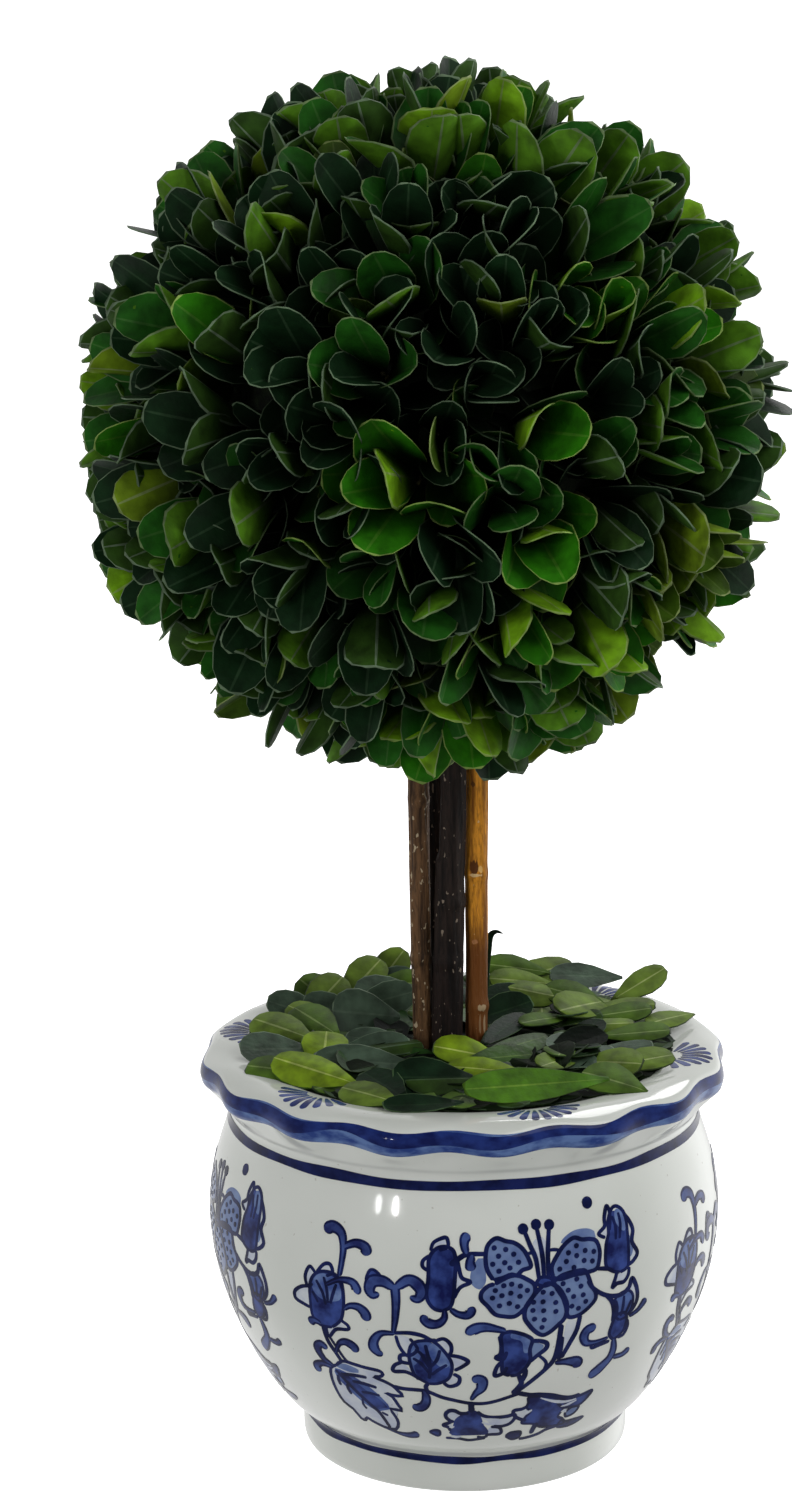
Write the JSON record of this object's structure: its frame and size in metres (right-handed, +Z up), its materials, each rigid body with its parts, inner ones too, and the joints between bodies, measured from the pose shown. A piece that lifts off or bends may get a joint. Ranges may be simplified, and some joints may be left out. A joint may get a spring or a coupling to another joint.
{
  "type": "preserved boxwood ball topiary in a ceramic pot",
  "caption": "Small preserved box topiary: a round ball of leaves on bare sticks in a round-bellied blue and white glazed pot with a wavy lip.",
  "frame": {"origin": "centre of the pot's flat underside, on the surface that it stands on", "axes": "+Z up, front of the pot toward -Y, +X to the right of a viewer at the front"},
  "size_m": [0.1391, 0.1385, 0.2795],
  "materials": {
    "pot_glaze": "glossy white glaze with cobalt blue brush painting",
    "fill_foam": "matt dry foam",
    "bark_brown": "dry bark with pale specks",
    "bark_dark": "dry dark bark",
    "bark_tan": "smooth tan bark",
    "ball_leaves": "satin preserved leaves",
    "loose_leaves": "satin preserved leaves"
  },
  "bodies": {
    "root": {"pot": "pot_glaze", "pot_fill": "fill_foam", "stem_left": "bark_brown", "stem_back": "bark_dark", "stem_centre": "bark_dark", "stem_right": "bark_tan", "foliage_ball": "ball_leaves", "leaf_collar": "loose_leaves"}
  },
  "joints": []
}
